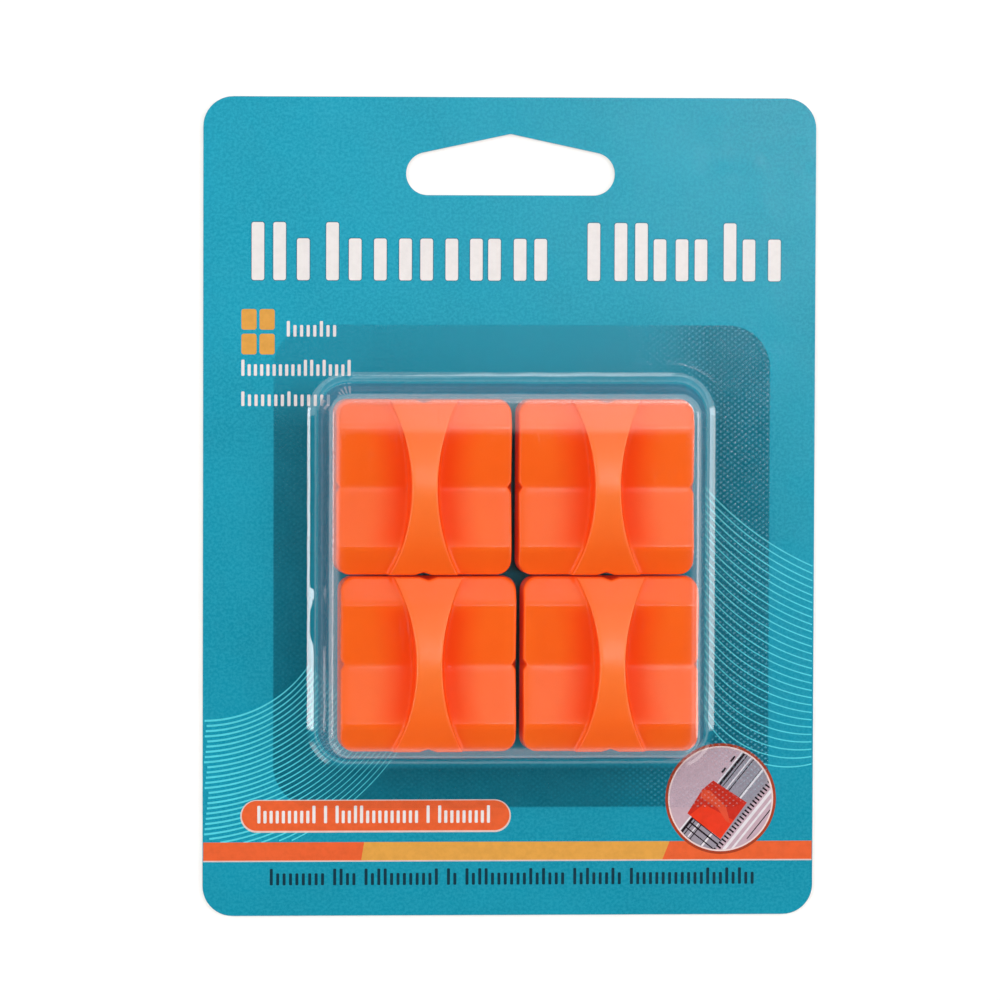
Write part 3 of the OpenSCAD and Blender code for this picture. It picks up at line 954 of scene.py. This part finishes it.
class Sheet:
    """Points of the blister with their haze and painted rim glare, and its faces with their kind: outside,
    inside or flange.
    """

    def __init__(self):
        self.points, self.haze, self.faces, self.kinds = [], [], [], []

    def ring(self, loop, z, haze_and_glare=0.0, lean=True):
        start = len(self.points)
        for x, y in drawn(loop, z) if lean else loop:
            self.points.append((x, y, z))
            self.haze.append(haze_and_glare * (RIGHT_HAZE_SHARE if x > 34.0 else 1.0))
        return list(range(start, start + LOOP_COUNT))

    def add_faces(self, faces, kind):
        self.faces += faces
        self.kinds += [kind] * len(faces)

    def band(self, a, b, kind):
        pairs = [(k, (k + 1) % LOOP_COUNT) for k in range(LOOP_COUNT)]
        self.add_faces([(a[k], a[m], b[m], b[k]) for k, m in pairs], kind)

    def close_roof(self, last, inset, z, kind):
        """Rings inwards over the roof, then a grid of points blended between the last ring's four sides."""
        under = kind == INSIDE
        for extra, haze_and_glare in ROOF_RINGS:
            new = self.ring(pocket_loop(inset + extra), z, 0.0 if under else haze_and_glare)
            self.band(*((new, last) if under else (last, new)), kind)
            last = new
        sides = roof_sides()
        flat = np.array([self.points[v][:2] for v in last])
        r, t, l, b = (flat[side] for side in sides)
        u = np.linspace(0, 1, len(b))[None, :, None]
        v = np.linspace(0, 1, len(l))[:, None, None]
        ends = (1 - v) * ((1 - u) * b[0] + u * b[-1]) + v * ((1 - u) * t[0] + u * t[-1])
        blend = (1 - v) * b + v * t + (1 - u) * l[:, None] + u * r[:, None] - ends
        inner = blend[1:-1, 1:-1]
        table = np.zeros(blend.shape[:2], int)
        table[1:-1, 1:-1] = len(self.points) + np.arange(inner[..., 0].size).reshape(inner.shape[:2])
        table[:, -1], table[-1], table[:, 0], table[0] = (np.array(last)[side] for side in sides)
        self.points += [(x, y, z) for x, y in inner.reshape(-1, 2)]
        self.haze += [0.0] * inner[..., 0].size
        self.add_faces(grid_faces(table.tolist(), under), kind)


def blister_shell():
    sheet = Sheet()
    outer, inner = pocket_profile(0.0), pocket_profile(SHEET)
    edge = rounded_loop(FLANGE_HALF, FLANGE_CORNER) + np.subtract(FLANGE_MIDDLE, POCKET_MIDDLE)
    foot_outer, foot_inner = pocket_loop(outer[0][0]), pocket_loop(inner[0][0])
    # outer face, from the flange's lower edge inwards and up
    bottom_edge = sheet.ring(edge, FLANGE_TOP_Z - SHEET, lean=False)
    last = sheet.ring(edge, FLANGE_TOP_Z - 0.06, lean=False)
    sheet.band(bottom_edge, last, FLANGE)
    for t in (0.994, 0.989, 0.9, 0.75, 0.6, 0.45, 0.3, 0.15):
        new = sheet.ring(foot_outer * (1 - t) + edge * t, FLANGE_TOP_Z, lean=t < 0.9)
        sheet.band(last, new, FLANGE)
        last = new
    for inset, z, tilt in outer:
        # the rim band gets its haze and painted glare here
        on_rim = z > 13.0 and tilt < deg(74)
        on_wall = tilt > deg(60) and not on_rim
        new = sheet.ring(wall_loop(inset, tilt), z, RIM_HAZE_AND_GLARE if on_rim else WALL_HAZE if on_wall else 0.0)
        sheet.band(last, new, FLANGE if z < 5.0 and tilt < deg(24) else OUTSIDE)
        last = new
    sheet.close_roof(last, outer[-1][0], ROOF_TOP_Z, OUTSIDE)
    # under face, from the flange's lower edge inwards and up
    last = bottom_edge
    for t in (0.75, 0.45, 0.15):
        new = sheet.ring(foot_inner * (1 - t) + edge * t, FLANGE_TOP_Z - SHEET)
        sheet.band(new, last, INSIDE)
        last = new
    for inset, z, tilt in inner:
        new = sheet.ring(wall_loop(inset, tilt), z)
        sheet.band(new, last, INSIDE)
        last = new
    sheet.close_roof(last, inner[-1][0], ROOF_TOP_Z - SHEET, INSIDE)
    return sheet


def make_blister(outer, inner, flange):
    sheet = blister_shell()
    points = [(x + POCKET_MIDDLE[0], y + POCKET_MIDDLE[1], z) for x, y, z in sheet.points]
    materials = [outer, inner, flange]
    piece = build("blister_sheet", points, sheet.faces, "pack", materials, sheet.kinds, sharp=50)
    store_value(piece, "rim_haze_and_glare", sheet.haze)
    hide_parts("blister_shell")


# ---- print

INK_LOW = FRONT_Z - 0.004


def printed(outline, rise):
    """Layer of ink from just inside the card up to rise above its face."""
    return plate(outline, INK_LOW, FRONT_Z + rise)


def printed_bar(x0, y0, x1, y1, radius, rise, steps=5):
    """Printed rectangle with round corners."""
    radius = min(radius, (x1 - x0) / 2, (y1 - y0) / 2)
    right, left, low, high = x1 - radius, x0 + radius, y0 + radius, y1 - radius
    outline = []
    for cx, cy, turn in ((right, low, -90), (right, high, 0), (left, high, 90), (left, low, 180)):
        for k in range(steps + 1):
            a = deg(turn + 90 * k / steps)
            outline.append((cx + radius * cos(a), cy + radius * sin(a)))
    return printed(outline, rise)


def strip(path, widths, rise):
    """Printed ribbon along a path, with a width at each point."""
    z0, z1 = INK_LOW, FRONT_Z + rise
    path = np.array(path, float)
    along = np.gradient(path, axis=0)
    along /= np.linalg.norm(along, axis=1)[:, None]
    side = np.stack([-along[:, 1], along[:, 0]], axis=1)
    half = np.array(widths)[:, None] / 2
    left, right = path + side * half, path - side * half
    points, faces = [], []
    for (lx, ly), (rx, ry) in zip(left, right):
        points += [(lx, ly, z0), (rx, ry, z0), (rx, ry, z1), (lx, ly, z1)]
    for k in range(len(path) - 1):
        a, b = 4 * k, 4 * (k + 1)
        for e in range(4):
            f = (e + 1) % 4
            faces.append((a + e, a + f, b + f, b + e))
    last = 4 * (len(path) - 1)
    faces += [(3, 2, 1, 0), (last, last + 1, last + 2, last + 3)]
    return points, faces


def print_piece(name, shells, material):
    points, faces = joined(shells)
    build(name, points, faces, "pack", [material], smooth=False)


def pickets(x0, x1, base, low_h, high_h, stroke, groups, seed, rise):
    """A line of plain upright strokes in groups, in place of a line of words."""
    rng = np.random.default_rng(seed)
    shells = []
    gap = 0.9
    pitch = (x1 - x0 - stroke) / (sum(groups) + gap * (len(groups) - 1) - 1)
    x = x0
    for group in groups:
        for k in range(group):
            height = high_h if (k == 0 or rng.random() < 0.22) else low_h
            shells.append(printed_bar(x, base, x + stroke, base + height, stroke * 0.3, rise, steps=3))
            x += pitch
        x += gap * pitch
    return shells


TITLE_LOW = (-42.4, -32.1, -27.1, -22.1, -17.9, -12.9, -8.0, -4.4, 0.7, 4.8, 28.6, 33.0, 36.8, 46.4, 51.5)
TITLE_HIGH = (-51.4, -47.1, -36.6, 15.4, 20.8, 24.9, 42.6)


def make_title(inks):
    """Two groups of bold upright strokes where the title stood, each with a thin dark edge."""
    base, width, rim = 45.1, 2.5, 0.16
    strokes, edges = [], []
    for starts, height in ((TITLE_LOW, 8.3), (TITLE_HIGH, 11.5)):
        for x in starts:
            strokes.append(printed_bar(x, base, x + width, base + height, 0.45, 0.020))
            edges.append(printed_bar(x - rim, base - rim, x + width + rim, base + height + rim, 0.6, 0.014))
    print_piece("title_edges", edges, inks["edge_teal"])
    print_piece("title_strokes", strokes, inks["white"])


def make_small_lines(inks):
    """Four squares with three short lines beside and under them, and a long line at the card's foot."""
    left, rise = -53.4, 0.016
    corners = [(x, y) for x in (left, left + 3.6) for y in (30.35, 35.25)]
    squares = [printed_bar(x, y, x + 3.0, y + 4.1, 0.5, rise) for x, y in corners]
    print_piece("count_squares", squares, inks["yellow"])
    lines = []
    rows = ((left + 9.0, -34.6, 33.9, 3.1, 8), (left, -31.7, 26.1, 3.2, 18), (left, -35.8, 20.1, 2.9, 14))
    for seed, (x0, x1, base, tall, count) in enumerate(rows, 5):
        lines += pickets(x0, x1, base, 2.3, tall, 0.62, (count,), seed, rise)
    print_piece("side_strokes", lines, inks["white"])
    foot = pickets(-47.6, 49.2, -75.4, 2.4, 3.3, 0.60, (9, 4, 12, 2, 16, 8, 20), 8, 0.014)
    print_piece("foot_strokes", foot, inks["dark"])


def make_pill(inks):
    x0, y0, x1, y1 = -53.2, -64.5, 0.2, -58.5
    rim = printed_bar(x0 - 0.28, y0 - 0.36, x1 + 0.28, y1 + 0.18, 3.3, 0.017, steps=10)
    print_piece("pill_outline", [rim], inks["pale"])
    print_piece("pill_fill", [printed_bar(x0, y0, x1, y1, 3.0, 0.021, steps=10)], inks["orange"])
    strokes = pickets(-50.1, -3.7, -63.0, 2.5, 3.5, 0.62, (10, 1, 14, 1, 9), 9, 0.025)
    print_piece("pill_strokes", strokes, inks["white"])


def make_stripe(inks):
    """Band of three slanted parts across the whole card, with a fine line under it."""
    top, low, line = -66.8, -70.45, 0.25
    w = CARD_HALF_W - 0.16
    first, second = (-29.4, -28.8), (30.85, 32.3)
    parts = (("left", (-w, -w), first, "orange"), ("middle", first, second, "yellow"),
             ("right", second, (w, w), "orange"))
    for name, start, end, colour in parts:
        outline = [(start[0], low), (end[0], low), (end[1], top), (start[1], top)]
        print_piece(f"stripe_{name}", [printed(outline, 0.018)], inks[colour])
    outline = [(-w, low - line), (w, low - line), (w, low), (-w, low)]
    print_piece("stripe_line", [printed(outline, 0.018)], inks["pale"])


def make_waves(inks):
    """Two families of fine curved lines at the lower left and on the right of the card."""
    rise, count_left, count_right = 0.010, 29, 28
    stripe_top = -66.9
    left = []
    for k in range(count_left):
        radius = 25.0 + 29.0 * k / (count_left - 1)
        centre = (-CARD_HALF_W + 0.4 - 0.205 * k, -42.5 - 1.04 * k + radius)
        path, widths = [], []
        for a in np.linspace(deg(-4), deg(56), 46):
            x, y = centre[0] + radius * sin(a), centre[1] - radius * cos(a)
            if x >= -CARD_HALF_W + 0.3 and y >= stripe_top:
                path.append((x, y))
                widths.append(0.42 - 0.26 * min(1.0, (x + CARD_HALF_W) / 26))
        if len(path) > 3:
            left.append(strip(path, widths, rise))
    print_piece("wave_lines_left", left, inks["cyan"])
    right = []
    for k in range(count_right):
        centre_x, radius = 56.0 + 1.1 * k, 19.0 + 1.6 * k
        centre_y = -51.3 + 1.46 * k + sqrt(radius**2 - (centre_x - 61.0) ** 2)
        path = []
        for x in np.linspace(CARD_HALF_W - 0.3, 39.0, 30):
            path.append((x, centre_y - sqrt(max(radius**2 - (centre_x - x) ** 2, 0.0))))
        right.append(strip(path, [0.24] * len(path), rise))
    print_piece("wave_lines_right", right, inks["cyan"])


def inset_clip(points, centre, radius):
    """Keeps a convex outline inside a circle by cutting it with the circle's polygon."""
    steps = 48
    shape = [np.array(p, float) for p in points]
    for k in range(steps):
        a = 2 * pi * k / steps
        normal = np.array([cos(a), sin(a)])
        limit = normal @ np.array(centre) + radius
        kept = []
        for p, q in zip(shape, shape[1:] + shape[:1]):
            inside_p, inside_q = normal @ p <= limit, normal @ q <= limit
            if inside_p:
                kept.append(p)
            if inside_p != inside_q:
                t = (limit - normal @ p) / (normal @ (q - p))
                kept.append(p + t * (q - p))
        shape = kept
        if len(shape) < 3:
            return []
    return [tuple(p) for p in shape]


def make_inset(inks):
    """Round picture of the builder's own: a plain square cutter on a rail."""
    cx, cy, radius, rim = 42.5, -58.3, 11.1, 0.9
    turn = deg(51.3)
    along = np.array([cos(turn), sin(turn)])
    across = np.array([-sin(turn), cos(turn)])
    middle = np.array([cx, cy])

    def disc(name, r, rise, ink_name):
        angles = np.linspace(0, 2 * pi, 73)[:-1]
        outline = [(cx + r * cos(a), cy + r * sin(a)) for a in angles]
        print_piece(name, [printed(outline, rise)], inks[ink_name])

    def bands(name, rows, ink_name, rise):
        """Bars that lie along the rail, from v0 to v1 across it and from u0 to u1 along it."""
        shapes = []
        for v0, v1, u0, u1 in rows:
            corners = [middle + along * u + across * v for u, v in ((u0, v0), (u1, v0), (u1, v1), (u0, v1))]
            shapes.append(inset_clip(corners, (cx, cy), radius - rim))
        print_piece(name, [printed(shape, rise) for shape in shapes if shape], inks[ink_name])

    def full(*spans):
        """Bars over the whole length of the rail."""
        return [(v0, v1, -12, 12) for v0, v1 in spans]

    disc("inset_ring", radius, 0.022, "rust")
    disc("inset_line", radius - 0.55, 0.026, "pale_pink")
    disc("inset_ground", radius - 0.85, 0.030, "mauve")
    bands("inset_rail", full((-5.6, 2.3)), "rail_grey", 0.033)
    light = full((-3.2, -2.8), (-7.2, -6.6), (0.2, 0.45), (2.3, 2.6), (-8.3, -7.9))
    bands("inset_light_lines", light, "rail_light", 0.035)
    dark = full((1.7, 2.2), (1.15, 1.35), (-0.35, -0.15), (-2.75, -2.65)) + [(-9.3, -9.1, -3, 7)]
    ticks = [(-6.3, -5.2, u, u + 0.36) for u in np.arange(-10.4, 10.4, 0.82)]
    stubs = [(2.9, 3.3, 4.2, 5.4), (2.9, 3.3, 7.0, 8.4)]
    bands("inset_dark_lines", dark + ticks + stubs, "rail_dark", 0.036)
    tail = [(-5.4, 2.2, u, u + w) for u, w in ((-10.6, 0.5), (-8.9, 0.25), (-7.7, 0.35), (-6.6, 0.2))]
    bands("inset_end_lines", tail, "rail_dark", 0.0365)
    make_inset_cutter(middle, inks)


def make_inset_cutter(middle, inks):
    """The picture's cutter in three tones: its whole outline, its lower face and its grip ridge."""
    outer = [(-3.738, 1.78), (-6.675, -2.937), (0.0, -8.099), (5.251, -0.801), (-1.513, 3.649)]
    lower = [(-6.23, -3.293), (0.0, -8.099), (2.67, -4.379), (-3.382, -1.068)]
    ridge = [(-4.094, 0.356), (-0.534, -1.958), (1.068, -4.45), (1.958, -4.984)]
    ridge += [(1.068, -1.602), (-2.136, 1.691), (-3.649, 1.78)]
    parts = (("cutter", outer, "cutter_dark", 0.039), ("cutter_low", lower, "cutter", 0.0405),
             ("cutter_ridge", ridge, "cutter_light", 0.042))
    for name, outline, ink_name, rise in parts:
        print_piece(f"inset_{name}", [printed(np.add(outline, middle), rise)], inks[ink_name])


# ---- CAD nodes that stay


def dress(node, material, bevel_mm):
    """Gives a CAD node its material and a small edge bevel."""
    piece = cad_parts[node]
    piece.data.materials.clear()
    piece.data.materials.append(material)
    weld = piece.modifiers.new("weld", "WELD")
    weld.merge_threshold = 0.002 * MM
    bevel = piece.modifiers.new("bevel", "BEVEL")
    bevel.width = bevel_mm * MM
    bevel.segments = 2
    bevel.limit_method = "ANGLE"
    bevel.angle_limit = deg(40)


# ---- studio


def make_world():
    """Studio seen as slopes round the vertical: a broad light from overhead to the back, a dark front,
    a pale surround low down, and two narrow strips at the sides."""
    world = bpy.data.worlds.new("studio")
    bpy.context.scene.world = world
    s = Shader("studio", world)
    x, y, z = s.split(s.coordinates["Generated"])
    height = s.math("MAXIMUM", z, 0.02)
    slope_x, slope_y = s.math("DIVIDE", x, height), s.math("DIVIDE", y, height)
    side_x = s.math("ABSOLUTE", x)
    elevation = s.math("ARCSINE", z)
    # the broad light from overhead to the back, with a brighter patch a little to the right
    overhead = s.ramp(slope_y, -0.0356, -0.0350)
    near_share = s.plus(s.ramp(slope_y, 0.08, 0.20, 4.6, 0.4), s.ramp(slope_y, 1.0, 1.5, 0.0, 0.6))
    right_glow = s.window(slope_x, (0.088, 0.112), (0.14, 0.20), 3.2)
    right_glow = s.times(right_glow, s.times(s.ramp(slope_y, -0.016, -0.004), near_share))
    level = s.plus(s.ramp(slope_x, 0.035, 0.065, 0.60, 1.15), right_glow)
    level = s.plus(level, s.ramp(slope_x, 0.20, 0.50, 0.0, 0.25))
    level = s.plus(level, s.ramp(slope_x, -0.30, -0.10, 0.75, 0.0))
    level = s.times(level, s.ramp(slope_y, 1.3, 1.9, 1.0, 0.34))
    upper = s.plus(s.times(overhead, level), s.times(s.minus(1.0, overhead), 0.03))
    low = s.ramp(z, 0.10, 0.22, 1.0, 0.0)
    total = s.plus(s.times(upper, s.minus(1.0, low)), s.times(low, 0.85))
    # a narrow strip on each side, from a lower edge that differs left and right up to 45 degrees
    side_turn = s.math("ABSOLUTE", s.math("ARCTAN2", y, side_x))
    left_low = s.ramp(y, -0.068, -0.063, deg(12), deg(32))
    right_low = s.ramp(x, 0.0, 0.1, deg(90), deg(10))
    lowest = s.math("MINIMUM", right_low, s.plus(left_low, s.ramp(x, -0.1, 0.0, 0.0, deg(90))))
    above_low = s.math("GREATER_THAN", elevation, lowest)
    off_axis = s.times(s.ramp(side_turn, deg(6), deg(10)), above_low)
    strips = s.times(s.minus(above_low, off_axis), s.ramp(x, -0.1, 0.1, 6.8, 4.2))
    total = s.plus(total, s.times(strips, s.ramp(elevation, deg(44.5), deg(45.5), 1.0, 0.0)))
    # soft light from the front corners and a thin bright line at the back
    front_turn = s.math("ARCTAN2", s.times(y, -1.0), side_x)
    front = s.window(front_turn, (deg(24), deg(32)), (deg(60), deg(68)), 2.1)
    total = s.plus(total, s.times(front, s.window(elevation, (deg(14), deg(22)), (deg(56), deg(66)))))
    behind = s.ramp(s.math("ARCTAN2", side_x, y), deg(28), deg(36), 1.8, 0.0)
    total = s.plus(total, s.times(behind, s.window(elevation, (deg(29.5), deg(30)), (deg(33), deg(33.5)))))
    s.finish(s.add("Background", {"Color": (1.0, 0.995, 0.985, 1), "Strength": total}))


def make_floor():
    s = Shader("floor_paper")
    tone = s.colours(s.noise(40.0, 3.0), [(0.3, (0.94, 0.945, 0.94)), (0.7, (0.955, 0.96, 0.955))])
    material = s.principled(tone, 0.9, s.bump(s.noise(2.0, 2.0), 0.02))
    size = 4000.0
    points = [(-size, -size, -0.02), (size, -size, -0.02), (size, size, -0.02), (-size, size, -0.02)]
    mesh = bpy.data.meshes.new("floor")
    mesh.from_pydata([tuple(c * MM for c in p) for p in points], [], [(0, 1, 2, 3)])
    mesh.materials.append(material)
    floor = bpy.data.objects.new("floor", mesh)
    bpy.context.scene.collection.objects.link(floor)


# ---- the whole scene


def main():
    make_camera()
    make_world()
    make_floor()
    bpy.context.scene.view_settings.view_transform = "Standard"
    dress("backing_card", printed_card(), 0.14)
    inner_base = plain_plastic("orange_base", (0.80, 0.10, 0.012), (0.88, 0.125, 0.016), patch_mm=4.0,
                               dull=(0.46, 0.60), sheen_mm=0.8, grain_mm=0.30, grain_depth=0.005, index=1.45)
    white_clamp = plain_plastic("white_acetal", (0.76, 0.76, 0.72), (0.83, 0.83, 0.80), patch_mm=2.0,
                                dull=(0.38, 0.50), sheen_mm=0.6, grain_mm=0.25, grain_depth=0.003, index=1.48)
    steel = worked_steel("blade_steel", (0.50, 0.51, 0.52), (0.66, 0.67, 0.69), line_mm=0.10,
                         stretch=0.06, cuts=(0.25, 0.75), dull=(0.20, 0.36), depth=0.002)
    wire = worked_steel("spring_wire", (0.46, 0.46, 0.48), (0.60, 0.60, 0.62), line_mm=0.12,
                        stretch=0.15, cuts=(0.3, 0.7), dull=(0.22, 0.38), depth=0.0015)
    for i in CARTRIDGES:
        dress(f"slide_base_{i}", inner_base, 0.12)
        dress(f"blade_{i}", steel, 0.01)
        dress(f"blade_clamp_{i}", white_clamp, 0.10)
    make_caps(cap_plastic())
    make_springs(wire)
    pocket = sheet_shader("pvc_pocket", CLEAR_TINT, roughness=0.012, normal_maker=pocket_normal,
                          haze_maker=pocket_haze_and_glare, haze_colour=HAZE_AND_GLARE_WHITE, gain=1.9, most_mirror=0.32)
    flange = sheet_shader("pvc_flange", CLEAR_TINT, roughness=0.05, normal_maker=flange_normal,
                          haze_maker=flange_haze, haze_colour=KNURL_WHITE, gain=0.12, most_mirror=0.08)
    make_blister(pocket, sheet_inside(), flange)
    inks = {name: ink(name, colour) for name, colour in INK_COLOURS.items()}
    inks["white"] = ink("white", (0.77, 0.73, 0.72), worn=0.06)
    for make in (make_title, make_small_lines, make_pill, make_stripe, make_waves, make_inset):
        make(inks)


main()
